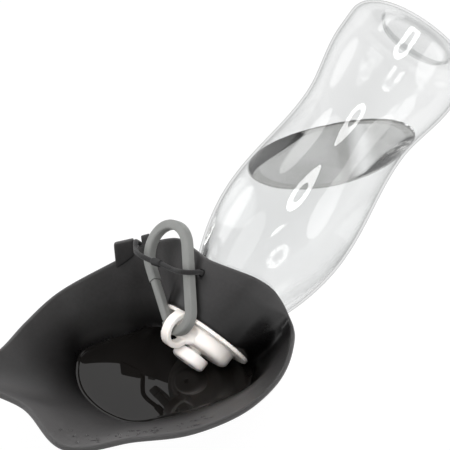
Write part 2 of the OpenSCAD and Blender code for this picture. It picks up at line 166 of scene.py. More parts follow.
class Finish:
    """A material, and the one method that adds a node to it."""

    def __init__(self, name):
        self.material = bpy.data.materials.new(name)
        self.material.use_nodes = True
        self.tree = self.material.node_tree
        self.tree.nodes.clear()

    def node(self, kind, settings=None, sockets=None, output=0):
        """A node of that type: its settings first, then a value or a link for each named
        or numbered socket. Gives the chosen output."""
        node = self.tree.nodes.new(kind)
        for key, value in (settings or {}).items():
            setattr(node, key, value)
        for key, value in (sockets or {}).items():
            if isinstance(value, Level):
                self.tree.links.new(value.socket, node.inputs[key])
            elif node.inputs[key].type == "RGBA":
                node.inputs[key].default_value = (*value, 1)
            else:
                node.inputs[key].default_value = value
        return Level(self, node.outputs[output]) if len(node.outputs) else None

    def noise(self, scale, detail=2.0, output=0):
        """Noise in the piece's own space, scale in cells a metre. Output 1 is a colour."""
        return self.node("ShaderNodeTexNoise", {}, {
            "Vector": self.node("ShaderNodeTexCoord", {}, {}, 3),
            "Scale": scale, "Detail": detail}, output)

    def mark(self, name):
        """The value of that name that the mesh carries at its points."""
        return self.node("ShaderNodeAttribute", {"attribute_name": name}, {}, 2)

    def between(self, share, low, high):
        """Colour that goes from low to high as the share goes from 0 to 1."""
        return self.node("ShaderNodeMix", {"data_type": "RGBA"}, {0: share, 6: low, 7: high}, 2)

    def relief(self, height, strength, distance):
        """Normal of a bump map with that height, distance in metres."""
        return self.node("ShaderNodeBump", {}, {
            "Strength": strength, "Distance": distance, "Height": height})

    def show(self, shader, *pieces):
        """The shader becomes the material's surface, on every slot of the pieces."""
        self.node("ShaderNodeOutputMaterial", {}, {"Surface": shader})
        for piece in pieces:
            if not piece.material_slots:
                piece.data.materials.append(self.material)
            for slot in piece.material_slots:
                slot.material = self.material


cord_r = 1.25
cord_route = np.array([
    [36.2, 0, 60.6], [33.5, -0.3, 62.5], [29.2, -0.5, 63.9], [26, 2.4, 64.2], [25.9, 9.6, 62.5],
    [26.2, 18.2, 61.7], [25.9, 25.7, 60.7], [25.6, 32.3, 60.4], [26.7, 37.9, 59.9],
    [29.6, 42.4, 59.1], [33.6, 47.4, 59.2], [37, 50.6, 57], [40.4, 48.5, 53.6], [44.2, 41, 53.4],
    [46.2, 33, 54.4], [45.5, 24, 56.6], [43.5, 15.6, 58.3], [41.6, 8.3, 59], [39.9, 3, 58.7],
    [38.4, 0, 58.6]])
cord_path = ring_curve(cord_route, np.linspace(-0.47, 19.47, 500))
cord_run = np.concatenate([[0], np.cumsum(np.linalg.norm(np.diff(cord_path, axis=0), axis=1))])
cord_sides = 20
cord_grid = tube(cord_path, cord_r, cord_sides)
cord_rows = np.concatenate([[0], cord_run, cord_run[-1:]])
loop_cord = surface("loop_cord", cord_grid, sharp=70, marks={
    "run": np.repeat(cord_rows, cord_sides + 1),
    "round": np.tile(np.linspace(0, 1, cord_sides + 1), len(cord_rows))})
braid = Finish("braided_elastic")
strands, strand_rise = 8, 5.2
along, about = braid.mark("run") * strand_rise, braid.mark("round") * (2 * math.pi * strands)
weave = along.math("SINE", along + about) * along.math("SINE", along - about) * 0.5 + 0.5
braid.show(braid.node("ShaderNodeBsdfPrincipled", {}, {
    "Base Color": braid.between(weave, (0.008, 0.0075, 0.008), (0.028, 0.027, 0.028)),
    "Roughness": 0.8 - weave * 0.2,
    "Sheen Weight": 0.25,
    "Normal": braid.relief(weave, 0.7, 0.0002)}), loop_cord)
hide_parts("elastic_loop")

# The crimp: a short soft tube shrunk on the two ends of the cord, which meet
# in it. It lies over the carabiner, on the side of the cord towards the bowl.
crimp_start, crimp_end, crimp_r, crimp_swell = 5.1, 5.9, 1.3, 0.6
crimp_path = ring_curve(cord_route, np.linspace(crimp_start, crimp_end, 40))
crimp_shape = np.sqrt(np.clip(1 - np.abs(np.linspace(-1, 1, 40)) ** 8, 0, 1))
loop_crimp = surface("loop_crimp", tube(crimp_path, crimp_r + crimp_swell * crimp_shape, 28))
rubber = Finish("crimp_rubber")
rubber_grain = rubber.noise(1800.0, 3.0)
rubber.show(rubber.node("ShaderNodeBsdfPrincipled", {}, {
    "Base Color": rubber.between(rubber_grain, (0.02, 0.02, 0.021), (0.035, 0.034, 0.035)),
    "Roughness": 0.45 + rubber_grain * 0.2,
    "Normal": rubber.relief(rubber_grain, 0.3, 0.0001)}), loop_crimp)
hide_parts("loop_sleeve")
tuple(cord_path[0] * 0.001)
(cord_path * 0.001).tolist()
# Held at the hole and the notch, the loop's pieces stay where they are built, their placing
# baked into their points.
for piece in (loop_cord, loop_crimp):
    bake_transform(piece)

# ---------------------------------------------------------------------------
# The bowl: one thin moulding of black silicone. A flat foot, a rounded basin
# with flared walls and a fish-tail front, a cup around the bottle's shoulder,
# the pad that the cap clamps, and the ear beside the loop.
bottle_tilt, neck_x, neck_z = math.radians(39.5), 45.0, 31.0
belly_r, belly_s, shoulder_r, shoulder_s = 34.4, 62.0, 19.0, 8.0


def on_axis(s, r, phi):
    """Point s along the bottle's axis, r from it, phi degrees from straight up to +Y."""
    phi = np.radians(phi)
    return np.stack(np.broadcast_arrays(
        neck_x + s * math.cos(bottle_tilt) - r * np.cos(phi) * math.sin(bottle_tilt),
        r * np.sin(phi),
        neck_z + s * math.sin(bottle_tilt) + r * np.cos(phi) * math.cos(bottle_tilt)), axis=-1)


wall, floor_z, wall_z = 2.6, 2.6, 8.0
rim_h, fold_h, tail_reach, tail_half_w = 34.0, 23.0, 75.0, 38.0
bowl_half_w, basin_half_w, basin_front, basin_back = 68.0, 51.0, 24.0, 63.0
foot_inset, cup_s, cup_gap, pad_r, pad_s = 16.0, 19.0, 3.6, 24.6, -7.8
cup_r = shoulder_r + (belly_r - shoulder_r) * math.sin(
    math.pi / 2 * (cup_s - shoulder_s) / (belly_s - shoulder_s)) ** 0.8 + cup_gap + wall
far_foot, near_foot, near_wall = basin_half_w - foot_inset, basin_half_w - foot_inset - 14, 30.0
# The stations round the bowl: rim, fold, wall and floor edge, and how far corners are cut.
stations = [
    [on_axis(cup_s, cup_r, 0), on_axis(pad_s, pad_r, 0), on_axis(pad_s, pad_r, 180),
     [basin_back, 0, floor_z], 2.5],
    [on_axis(cup_s + 1.5, cup_r + 1, 26), on_axis(pad_s, pad_r, 40), on_axis(pad_s, pad_r, 148),
     [basin_back - 2, 10, floor_z], 2.5],
    [on_axis(cup_s + 2, cup_r + 9, 50), on_axis(pad_s, pad_r, 74), on_axis(pad_s, pad_r, 116),
     [basin_back - 8, 19, floor_z], 2.5],
    [[neck_x - 10, basin_half_w - 4, rim_h + 22], [neck_x - 3, basin_half_w - 8, fold_h + 8],
     [neck_x, basin_half_w - 9, wall_z], [neck_x - 3, far_foot - 8, floor_z], 5],
    [[neck_x - 17, basin_half_w + 6.5, rim_h + 12], [neck_x - 17, basin_half_w + 3, fold_h],
     [neck_x - 17, basin_half_w - 2, wall_z], [neck_x - 19, far_foot - 2, floor_z], 7],
    [[0, bowl_half_w - 3, rim_h + 3], [0, basin_half_w + 7, fold_h - 1],
     [0, basin_half_w + 1, wall_z], [2, far_foot - 2, floor_z], 7],
    [[-28, bowl_half_w - 12, rim_h + 0.5], [-22, basin_half_w - 2, fold_h - 2],
     [-12, basin_half_w - 11, wall_z], [-8, far_foot - 9, floor_z], 7],
    [[-51, tail_half_w + 7, rim_h], [-38, tail_half_w - 3, fold_h - 3],
     [-basin_front + 4, tail_half_w - 13, wall_z], [-14, far_foot - 15, floor_z], 7],
    [[-tail_reach, tail_half_w, rim_h], [-50, tail_half_w - 18, fold_h - 3],
     [-basin_front + 1, tail_half_w - 25, wall_z], [-17, far_foot - 24, floor_z], 7],
    [[-tail_reach + 5, 0, rim_h], [-49, 0, fold_h - 3], [-basin_front, 0, wall_z],
     [-17, 26 - near_foot, floor_z], 7],
    [[-tail_reach, -tail_half_w, rim_h], [-50, 17 - tail_half_w, fold_h - 3],
     [-basin_front + 3, 18 - near_wall, wall_z], [-13, 20 - near_foot, floor_z], 7],
    [[-50, 16 - bowl_half_w, rim_h], [-35, 5 - tail_half_w, fold_h - 2],
     [-basin_front + 8, 12 - near_wall, wall_z], [-8, 15 - near_foot, floor_z], 7],
    [[-28, 4 - bowl_half_w, rim_h - 0.5], [-20, 8 - basin_half_w, fold_h],
     [-8, 9 - near_wall, wall_z], [-1, 11 - near_foot, floor_z], 7],
    [[0, -bowl_half_w, rim_h], [1, -basin_half_w, fold_h + 2.5],
     [4, 5 - near_wall, wall_z], [8, 7 - near_foot, floor_z], 7],
    [[27, 7 - bowl_half_w, rim_h + 0.5], [27, 1 - basin_half_w, fold_h + 4.5],
     [26, 1 - near_wall, wall_z], [24, 2 - near_foot, floor_z], 9],
    [[47, 19 - bowl_half_w, rim_h + 2], [45, 9 - basin_half_w, fold_h + 6.5],
     [42, 1 - near_wall, wall_z], [39, -near_foot, floor_z], 10],
    [[neck_x + 18, 35 - bowl_half_w, rim_h + 6], [neck_x + 8.5, 17 - basin_half_w, fold_h + 8.5],
     on_axis(pad_s - 1, pad_r + 2.5, -126), [basin_back - 10, 2 - near_foot, floor_z], 9],
    [on_axis(cup_s + 5.4, cup_r - 0.2, -69), on_axis(pad_s, pad_r, -74),
     on_axis(pad_s, pad_r, -138), [basin_back - 4, 8 - near_foot, floor_z], 2.5],
    [on_axis(cup_s + 4.5, cup_r + 0.5, -45), on_axis(pad_s, pad_r, -38),
     on_axis(pad_s, pad_r, -158), [basin_back - 1, 14 - near_foot, floor_z], 2.5]]
floor_mid = np.array([18.0, 0, floor_z])


def rounded(a, b, c, cut, steps):
    """Rounded corner at b of the line a, b, c: a parabola that leaves both sides where
    they are cut back by that length, or by less than half of a short side."""
    back_a, back_c = np.linalg.norm(a - b, axis=1), np.linalg.norm(c - b, axis=1)
    p = b + unit(a - b) * np.minimum(cut, 0.45 * back_a)[:, None]
    r = b + unit(c - b) * np.minimum(cut, 0.45 * back_c)[:, None]
    t = np.linspace(0, 1, steps)[:, None, None]
    return (1 - t) ** 2 * p + 2 * t * (1 - t) * b + t**2 * r


def inside_of_bowl(x):
    """Inner face of the bowl: each column, x in stations, is the line from the middle of
    the floor by its edge, the wall and the fold to the rim, with its three corners rounded.
    Gives the rows from the floor to the rim, and the outward normal of every point."""
    rim, fold, side, edge = (
        ring_curve(np.array([np.asarray(s[i], float) for s in stations]), x) for i in range(4))
    sizes = np.array([s[4] for s in stations], float)
    k = np.floor(x).astype(int)
    here, ahead = k % len(stations), (k + 1) % len(stations)
    cut = sizes[here] * (1 - x + k) + sizes[ahead] * (x - k)
    mid = np.broadcast_to(floor_mid, edge.shape)
    rows = [mid + (edge - mid) * t for t in (0, 0.2, 0.4, 0.6)]
    rows += list(rounded(mid, edge, side, cut, 9))
    rows += list(rounded(edge, side, fold, cut, 11))
    rows += list(rounded(side, fold, rim, cut, 13))
    last = rows[-1]
    rows += [last + (rim - last) * t for t in np.linspace(0, 1, 10)[1:]]
    grid = np.array(rows)
    sideways = np.roll(grid, -1, axis=1) - np.roll(grid, 1, axis=1)
    outward = unit(np.cross(sideways, np.gradient(grid, axis=0)))
    outward[:4] = [0, 0, -1]
    return grid, outward


def closed_round(grid):
    """The first column again at the end, so that the grid closes round the bowl."""
    return np.concatenate([grid, grid[:, :1]], axis=1)


columns_each, lip_steps = 18, 9
columns = np.arange(len(stations) * columns_each) / columns_each
inner, outward = inside_of_bowl(columns)
climb = unit(inner[-1] - inner[-2])
inner[-1] -= climb * wall / 2
lip = [inner[-1] + outward[-1] * wall / 2 * (1 - math.cos(a)) + climb * wall / 2 * math.sin(a)
       for a in np.linspace(0, math.pi, lip_steps)[1:-1]]
outer = inner + wall * outward
outer[..., 2] = np.maximum(outer[..., 2], 0)
skin_grid = closed_round(np.concatenate([inner, np.array(lip), outer[::-1]]))
# The rim mark is a painted highlight: it lightens the base colour on the lip and on the last rows
# below it on both faces.
rim_climb = np.linspace(0, 1, len(inner)) ** 12
rim_painted_highlight = np.concatenate([rim_climb, np.ones(len(lip)), rim_climb[::-1]])
wet_line, dry_line = 9.0, 27.0


def around(station, reach):
    """One at a station of the bowl, and falling off as a bell curve on both sides."""
    half_way = len(stations) / 2
    away = (closed_round(columns[None])[0] - station + half_way) % len(stations) - half_way
    return np.exp(-(away / reach) ** 2)


# How dry the skin is, with painted light and shade in it. The inner face is darker and
# glossier lower down, towards the water: partly wet silicone, partly painted shade. The far
# flare is lightest, and the near flare is lighter lower down too, both as painted light; the
# walls beside the bottle and behind the pool are painted darker, as painted shade.
far_flare, near_flare, painted_shade_side_wall, painted_shade_back_wall = 3.2, 10.4, 16.3, 0.6
dryness_and_painted_shading = np.clip((skin_grid[..., 2] - wet_line) / (dry_line - wet_line), 0, 1)
dryness_and_painted_shading = np.clip(dryness_and_painted_shading * (0.42 + 0.58 * around(far_flare, 1.8))
                  + 0.5 * around(near_flare, 2.2), 0, 1)
dryness_and_painted_shading[:len(inner) - 3] *= 1 - 0.97 * around(painted_shade_side_wall, 1.25)
dryness_and_painted_shading[:len(inner) - 7] *= 1 - 0.8 * around(painted_shade_back_wall, 0.8)
dryness_and_painted_shading[len(inner):] = 0.5
bowl_skin = surface("bowl_skin", skin_grid, sharp=60,
                    marks={"rim": np.repeat(rim_painted_highlight, skin_grid.shape[1]), "dry_and_painted_shading": dryness_and_painted_shading})


def revolved(profile, steps=144, twist=0.0):
    """Profile of [radius, s] pairs turned about the bottle's axis, phi from 0 to 360."""
    line = np.asarray(profile, float)
    return on_axis(line[:, 1:2], line[:, :1], np.linspace(0, 360, steps + 1)[None] + twist)


def cut_away(piece, *tools):
    """Takes the closed tools out of the piece, and removes them."""
    for tool in tools:
        cut = piece.modifiers.new("cut", "BOOLEAN")
        cut.operation, cut.solver, cut.object = "DIFFERENCE", "EXACT", tool
        shape = bpy.data.meshes.new_from_object(
            piece.evaluated_get(bpy.context.evaluated_depsgraph_get()))
        piece.modifiers.clear()
        piece.data = shape
        bpy.data.objects.remove(tool)


# Two openings: the pad's, with room for the cap's flange, skirt and bead, and the hole for
# the cord, which leans from straight up towards the bowl.
flange_r, skirt_r, bead_r = 24.2, 18.5, 20.7
pad_tool = surface("pad_tool", revolved(
    [[0, -10.5], [flange_r, -10.5], [flange_r, -7.5], [skirt_r, -7.5], [skirt_r, -5.4],
     [bead_r, -5.4], [bead_r, -1.4], [skirt_r, -1.4], [skirt_r, -0.5], [0, -0.5]]))
hole_mid, hole_lean, hole_play = on_axis(12.0, cup_r - 3.6, 0.0), math.radians(46), 0.35
hole_line = np.array([-math.sin(hole_lean), 0, math.cos(hole_lean)])
hole_tool = surface("hole_tool", tube(hole_mid + np.outer(np.linspace(-4, 4, 5), hole_line),
                                      cord_r + hole_play, 32))
cut_away(bowl_skin, pad_tool, hole_tool)

# The ear stands on the rim beside the loop: a flat tab of the same silicone,
# one moulding with the bowl, with rounded edges and a notch for the cord.
rim_at = inside_of_bowl(np.array([4.0, 3.12, 2.86, 2.62]))[0][-1]
ear_start, ear_run = np.array([27, 56.5, 56.5]), np.array([12.6, -11.5, 5.75])
ear_tops = np.array([ear_start + ear_run * t for t in (0, 0.56, 0.8, 1.02)])


def tab(low, high, thick):
    """Flat tab between two low and two high corners: a rounded-box section as high as the
    tab, carried from one side edge to the other, that draws in towards both."""
    across = unit(high[1] - high[0])
    rise = unit((high - low).mean(axis=0))
    face = unit(np.cross(across, rise))
    half_a, half_b = np.linalg.norm(high - low, axis=1) / 2
    mid_a, mid_b = (low + high) / 2
    turn = np.linspace(0, 2 * np.pi, 49)
    squareness, edge_roundness = 0.25, 0.35
    ring_y = np.sign(np.sin(turn)) * np.abs(np.sin(turn)) ** squareness
    ring_x = np.sign(np.cos(turn)) * np.abs(np.cos(turn)) ** squareness * thick / 2
    rows = []
    for t in np.concatenate([1 - np.cos(np.linspace(0, np.pi / 2, 7)),
                             1 + np.sin(np.linspace(0, np.pi / 2, 7))]) / 2:
        shrink = (1 - np.abs(2 * t - 1) ** 16) ** edge_roundness
        half = (half_a + (half_b - half_a) * t) * (0.7 + 0.3 * shrink)
        rows.append(mid_a + (mid_b - mid_a) * t + np.outer(ring_y * half, rise)
                    + np.outer(ring_x * shrink, face))
    ends = [np.repeat(r.mean(axis=0, keepdims=True), 49, axis=0) for r in (rows[0], rows[-1])]
    return np.array([ends[0], *rows, ends[1]])


ear_out = unit(np.cross(ear_run, [0, 0, 1.0]))
ear_out *= np.sign(ear_out[1]) * wall / 2
ear_root = rim_at - [0, 0, 4] + ear_out
ear_grids = [tab(ear_root[k:k + 2], ear_tops[k:k + 2] + ear_out, wall) for k in (0, 2)]
ear_points = sum(g.shape[0] * g.shape[1] for g in ear_grids)
bowl_ear = surface("bowl_ear", *ear_grids, marks={"dry_and_painted_shading": np.full(ear_points, 0.55)})

# The dry mark takes the base colour from near black to dusty grey. It carries the painted light
# and shade described above.
silicone = Finish("black_silicone")
cloud, dust = silicone.noise(28.0, 4.0), silicone.noise(600.0)
dry_and_painted_shading = silicone.mark("dry_and_painted_shading")
silicone.show(silicone.node("ShaderNodeBsdfPrincipled", {}, {
    "Base Color": silicone.between(
        # The rim mark adds a painted highlight along the lip.
        dry_and_painted_shading * (cloud * 0.7 + dust * 0.4 + 0.35) + silicone.mark("rim") * 0.1,
        (0.0014, 0.0011, 0.0012), (0.078, 0.0755, 0.0758)),
    "Roughness": 0.2 + cloud * 0.08 + dust * 0.06 + dry_and_painted_shading * 0.36,
    "Specular IOR Level": 0.5,
    "Normal": silicone.relief(dust + cloud * 0.6, 0.25, 0.0002)}), bowl_skin, bowl_ear)
for piece in (bowl_skin, bowl_ear):
    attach(piece, "bowl_and_cap")
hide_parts("bowl")

# The water in the bowl: a shallow pool with a meniscus along the silicone.
# Its underside lies inside the silicone's wall, so only its top is seen.
pool_z, meniscus_h, pool_sink = 8.0, 0.55, 1.1


def at_row(grid, row):
    """Points of the grid at a fractional row for every column."""
    k = np.clip(np.floor(row).astype(int), 0, grid.shape[0] - 2)
    t = (row - k)[..., None]
    column = np.arange(grid.shape[1])
    return grid[k, column] * (1 - t) + grid[k + 1, column] * t


def row_at_height(grid, z):
    """Fractional row where every column first rises through height z."""
    above = np.argmax(grid[..., 2] > z, axis=0)
    column = np.arange(grid.shape[1])
    low, high = grid[above - 1, column, 2], grid[above, column, 2]
    return above - 1 + (z - low) / (high - low)


shore_row = row_at_height(inner, pool_z)
shore = at_row(inner, shore_row)
shore_out = unit((shore - floor_mid) * [1, 1, 0])
pool_mid = np.array([floor_mid[0], 0, pool_z])
pool_rows = []
for t in np.concatenate([np.linspace(0, 0.9, 7), np.linspace(0.92, 1, 9)]):
    row = pool_mid + (shore - pool_mid) * t
    gap = np.linalg.norm(shore - row, axis=1)
    row[:, 2] = pool_z + meniscus_h * np.exp(-gap / 0.8)
    pool_rows.append(row)
pool_rows.append(shore + shore_out * 1.2 + [0, 0, meniscus_h])
under = [at_row(inner + pool_sink * outward, shore_row * t) for t in np.linspace(1, 0, 12)]
bowl_water = surface("bowl_water", closed_round(np.array(pool_rows + under)))
# Clear water over black silicone shows as a dark mirror, which here ripples and leans.
pool = Finish("water_over_silicone")
ripple, pool_lean = (0.06, 0.06, 0.0), (-0.115, -0.128, 0.0)
swell = pool.node("ShaderNodeVectorMath", {"operation": "MULTIPLY_ADD"}, {
    0: pool.noise(24.0, 0.0, output=1), 1: ripple, 2: pool_lean})
leaning = pool.node("ShaderNodeVectorMath", {"operation": "ADD"}, {
    0: pool.node("ShaderNodeNewGeometry", {}, {}, 1), 1: swell})
pool.show(pool.node("ShaderNodeBsdfPrincipled", {}, {
    "Base Color": pool.between(pool.noise(45.0),
                               (0.010, 0.0088, 0.0082), (0.017, 0.015, 0.0135)),
    "Roughness": 0.0, "IOR": 1.333, "Specular IOR Level": 0.75,
    "Normal": pool.node("ShaderNodeVectorMath", {"operation": "NORMALIZE"}, {0: leaning})}),
    bowl_water)
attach(bowl_water, "bowl_and_cap")

# Splashes: small domes of water left on the near flare of the fish-tail.
rng = np.random.default_rng(7)
drop_count, drop_steps, dome_h, drop_sink = 70, 15, 0.55, 0.1
drop_x = rng.uniform(9.6, 12.6, drop_count)
drop_row = rng.uniform(34, 43, drop_count)
drop_r = rng.uniform(0.35, 1.1, drop_count) ** 1.2
drop_inner, drop_outward = inside_of_bowl(drop_x)
drop_mid, drop_up = at_row(drop_inner, drop_row), -unit(at_row(drop_outward, drop_row))
drop_side = unit(np.cross(drop_up, [0.3, 1, 0.1]))
drop_ahead = np.cross(drop_up, drop_side)
drop_turn = np.linspace(0, 2 * np.pi, drop_steps)
drops = []
for i in range(drop_count):
    ring = (np.outer(np.cos(drop_turn), drop_side[i])
            + np.outer(np.sin(drop_turn), drop_ahead[i]))
    rows = [drop_mid[i] + drop_r[i] * (math.sin(a) * ring + dome_h * math.cos(a) * drop_up[i])
            for a in np.linspace(0, np.pi / 2, 5)]
    rows.append(np.repeat((drop_mid[i] - drop_sink * drop_up[i])[None], drop_steps, axis=0))
    drops.append(np.array(rows))
bowl_drops = surface("bowl_drops", *drops)
splash = Finish("splashed_water")
splash.show(splash.node("ShaderNodeBsdfPrincipled", {}, {
    "Base Color": (0.99, 0.99, 0.99), "Roughness": splash.noise(300.0) * 0.04, "IOR": 1.333,
    "Specular IOR Level": 1.0, "Transmission Weight": 1.0}), bowl_drops)
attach(bowl_drops, "bowl_and_cap")

# ---------------------------------------------------------------------------
# The cap: one white injection moulding. The flange and the bead clamp the
# bowl, the skirt takes the bottle's thread, and the boss carries the nozzle
# and the hanging eye. Its edges and corners are softly rounded.
def softened(name, sources, voxel, rounds):
    """Copy of a moulding with its edges and corners rounded: its surface is rebuilt in
    small even cells, and each point is moved towards its neighbours' mean, some rounds."""
    shell = bmesh.new()
    for source in sources:
        shell.from_mesh(source)
    bmesh.ops.remove_doubles(shell, verts=shell.verts, dist=1e-6)
    rough = bpy.data.meshes.new(name)
    shell.to_mesh(rough)
    shell.free()
    piece = bpy.data.objects.new(name, rough)
    bpy.context.collection.objects.link(piece)
    cells = piece.modifiers.new("cells", "REMESH")
    cells.mode, cells.voxel_size = "VOXEL", voxel
    ease = piece.modifiers.new("ease", "SMOOTH")
    ease.factor, ease.iterations = 0.5, rounds
    piece.data = bpy.data.meshes.new_from_object(
        piece.evaluated_get(bpy.context.evaluated_depsgraph_get()))
    piece.modifiers.clear()
    piece.data.shade_smooth()
    return piece


# The saddle joins the eye to the boss: an ellipsoid, long across the bottle's axis.
saddle_mid, saddle_half = on_axis(-15.7, 12.3, -2.0), (3.9, 2.5, 7.0)
saddle_u, saddle_v = np.meshgrid(np.linspace(0, np.pi, 13), np.linspace(0, 2 * np.pi, 25))
saddle_ahead = on_axis(1.0, 0.0, 0.0) - on_axis(0.0, 0.0, 0.0)
saddle_up = on_axis(0.0, 1.0, -2.0) - on_axis(0.0, 0.0, 0.0)
saddle = surface("saddle", saddle_mid + (
    saddle_half[0] * np.cos(saddle_u)[..., None] * saddle_ahead
    + saddle_half[1] * (np.sin(saddle_u) * np.cos(saddle_v))[..., None] * saddle_up
    + saddle_half[2] * (np.sin(saddle_u) * np.sin(saddle_v))[..., None]
    * np.cross(saddle_ahead, saddle_up)))
cap_moulding = softened("cap_moulding", [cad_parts["cap"].data, saddle.data], 0.00036, 14)
bpy.data.objects.remove(saddle)
ivory = Finish("ivory_plastic")
ivory_flow, ivory_grain = ivory.noise(60.0, 3.0), ivory.noise(1400.0)
ivory.show(ivory.node("ShaderNodeBsdfPrincipled", {}, {
    "Base Color": ivory.between(ivory_flow, (0.76, 0.715, 0.675), (0.84, 0.80, 0.765)),
    "Roughness": 0.3 + ivory_flow * 0.12 + ivory_grain * 0.06,
    "Subsurface Weight": 0.15, "Subsurface Radius": (1.0, 0.7, 0.5), "Subsurface Scale": 0.001,
    "Normal": ivory.relief(ivory_grain, 0.12, 0.0001)}), cap_moulding)
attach(cap_moulding, "bowl_and_cap")
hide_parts("cap")

# ---------------------------------------------------------------------------
# The push-pull spout: a short round button of the same white plastic, pushed
# on the nozzle, with a shallow dish round its outlet hole.
spout_r, spout_rear, spout_front, spout_round = 8.8, -19.5, -25.6, 2.2
spout_bore, rear_bore, outlet_r, dish_r = 4.08, 5.4, 1.6, 5.4
spout_edge = [[spout_r - spout_round + spout_round * math.sin(a),
               spout_front + spout_round - spout_round * math.cos(a)]
              for a in np.linspace(0, math.pi / 2, 14)]
spout_line = [[rear_bore, spout_rear], [spout_bore, spout_rear - 1.7],
              [spout_bore, spout_front + 1.2], [outlet_r, spout_front + 1.2],
              [outlet_r, spout_front + 0.5], [outlet_r + 0.3, spout_front + 0.22],
              [outlet_r * 2, spout_front + 0.2], [dish_r - 0.8, spout_front + 0.06],
              [dish_r, spout_front], *spout_edge, [spout_r, spout_rear - 0.5],
              [spout_r - 0.15, spout_rear - 0.12], [spout_r - 0.5, spout_rear],
              [rear_bore, spout_rear]]
spout_button = surface("spout_button", revolved(spout_line))
blush = Finish("blush_plastic")
blush_flow = blush.noise(90.0, 3.0)
blush.show(blush.node("ShaderNodeBsdfPrincipled", {}, {
    "Base Color": blush.between(blush_flow, (0.80, 0.74, 0.71), (0.87, 0.825, 0.80)),
    "Roughness": 0.26 + blush_flow * 0.12,
    "Subsurface Weight": 0.2, "Subsurface Radius": (1.0, 0.7, 0.5), "Subsurface Scale": 0.001,
    "Normal": blush.relief(blush_flow, 0.1, 0.0002)}), spout_button)
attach(spout_button, "spout")
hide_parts("spout")

# The sealing ring inside the spout and the gasket on the bottle's lip: plain
# rings of soft rubber and of silicone, pressed in place.
for name, node, scale, low, high, dullness, spread in (
        ("seal_rubber", "spout_seal", 1500.0, (0.02, 0.02, 0.02), (0.04, 0.04, 0.04), 0.5, 0.2),
        ("gasket_silicone", "neck_gasket", 900.0, (0.62, 0.62, 0.60), (0.72, 0.72, 0.70),
         0.45, 0.15)):
    seal = Finish(name)
    seal_grain = seal.noise(scale)
    seal.show(seal.node("ShaderNodeBsdfPrincipled", {}, {
        "Base Color": seal.between(seal_grain, low, high),
        "Roughness": dullness + seal_grain * spread}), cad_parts[node])

# ---------------------------------------------------------------------------
# The carabiner: a flat loop of grey acetal, wide at the top and narrow where
# it hangs in the cap's eye, with chamfered edges. The gate is the lower part
# of its left limb, on a thin root, and closes against a small nose.
hook_top_r, hook_low_r, hook_l, bar_w, bar_t, bar_cut = 13.4, 8.1, 33.0, 4.6, 4.9, 0.65
gate_l, gate_w, gate_gap, gate_foot = 21.0, 3.6, 0.3, 3.0
lean = math.asin((hook_top_r - hook_low_r) / hook_l)


def turned(axis, degrees):
    """Rotation matrix about X, Y or Z, numbered 0, 1 and 2."""
    c, s = math.cos(math.radians(degrees)), math.sin(math.radians(degrees))
    a, b = [(1, 2), (2, 0), (0, 1)][axis]
    matrix = np.eye(3)
    matrix[a, a] = matrix[b, b] = c
    matrix[a, b], matrix[b, a] = -s, s
    return matrix


hook_turn = turned(2, 112) @ turned(1, 40) @ turned(0, 39) @ turned(0, 90)
hook_zero = on_axis(-15.8, 20.2, -2.0) + [-2.1, -5.2, 2.8]


def hung(points):
    """Points of the carabiner's own frame, moved to where it hangs."""
    return points @ hook_turn.T + hook_zero


def bar_section(w, t, c):
    """Closed outline of the bar, w and t its half sides: a rectangle with its four corners
    cut back by c at 45 degrees, and each cut's ends eased."""
    corners = np.array([[w, t - c], [w - c, t], [c - w, t], [-w, t - c], [-w, c - t],
                        [c - w, -t], [w - c, -t], [w, c - t]])
    before, after, ease = np.roll(corners, 1, axis=0), np.roll(corners, -1, axis=0), 0.16
    p, q = corners + (before - corners) * ease, corners + (after - corners) * ease
    ring = np.stack([p, (p + 2 * corners + q) / 4, q], axis=1).reshape(-1, 2)
    return np.concatenate([ring, ring[:1]])


def swept(path, sections):
    """A flat bar along a path in its own plane: at every point its section stands across
    the path, its width in the plane, and both ends are closed."""
    ahead = unit(np.gradient(path, axis=0))
    across = np.stack([ahead[:, 1], -ahead[:, 0]], axis=1)
    rows = [np.concatenate([point + section[:, :1] * side, section[:, 1:]], 1)
            for point, side, section in zip(path, across, sections)]
    ends = [np.repeat(r.mean(axis=0, keepdims=True), len(r), axis=0) for r in (rows[0], rows[-1])]
    return np.array([ends[0], *rows, ends[1]])


def arc(mid_y, r, start, end, steps):
    """Arc of the loop's centre line about a point on its long axis, in degrees."""
    a = np.radians(np.linspace(start, end, steps))
    return np.stack([r * np.cos(a), mid_y + r * np.sin(a)], axis=1)


def resampled(path, spacing):
    """The same line with its points evenly spaced."""
    run = np.concatenate([[0], np.cumsum(np.linalg.norm(np.diff(path, axis=0), axis=1))])
    even = np.linspace(0, run[-1], int(run[-1] / spacing) + 2)
    return np.stack([np.interp(even, run, path[:, i]) for i in range(path.shape[1])], axis=1)


lean_deg = math.degrees(lean)
limb_start = np.array([hook_low_r * math.cos(lean), hook_low_r - hook_low_r * math.sin(lean)])
limb_way = np.array([math.sin(lean), math.cos(lean)])
body_path = np.concatenate([
    [limb_start + limb_way * (gate_foot + gate_l + gate_gap)],
    arc(hook_low_r + hook_l, hook_top_r, -lean_deg, 180 + lean_deg, 60),
    arc(hook_low_r, hook_low_r, 180 + lean_deg, 360 - lean_deg, 40),
    [limb_start + limb_way * (gate_foot - gate_w / 2 - gate_gap)]])
body_path = resampled(body_path, 0.6)
body_sections = [bar_section(bar_w / 2, bar_t / 2, bar_cut)] * len(body_path)
carabiner_loop = surface("carabiner_loop", hung(swept(body_path, body_sections)), sharp=30)
gate_path = limb_start + np.outer(
    gate_foot + np.concatenate([-gate_w / 2 * np.cos(np.linspace(0, math.pi / 2, 9)),
                                np.linspace(0, gate_l, 20)[1:]]), limb_way)
gate_width = np.concatenate([np.sin(np.linspace(0.12, math.pi / 2, 9)), np.ones(19)])
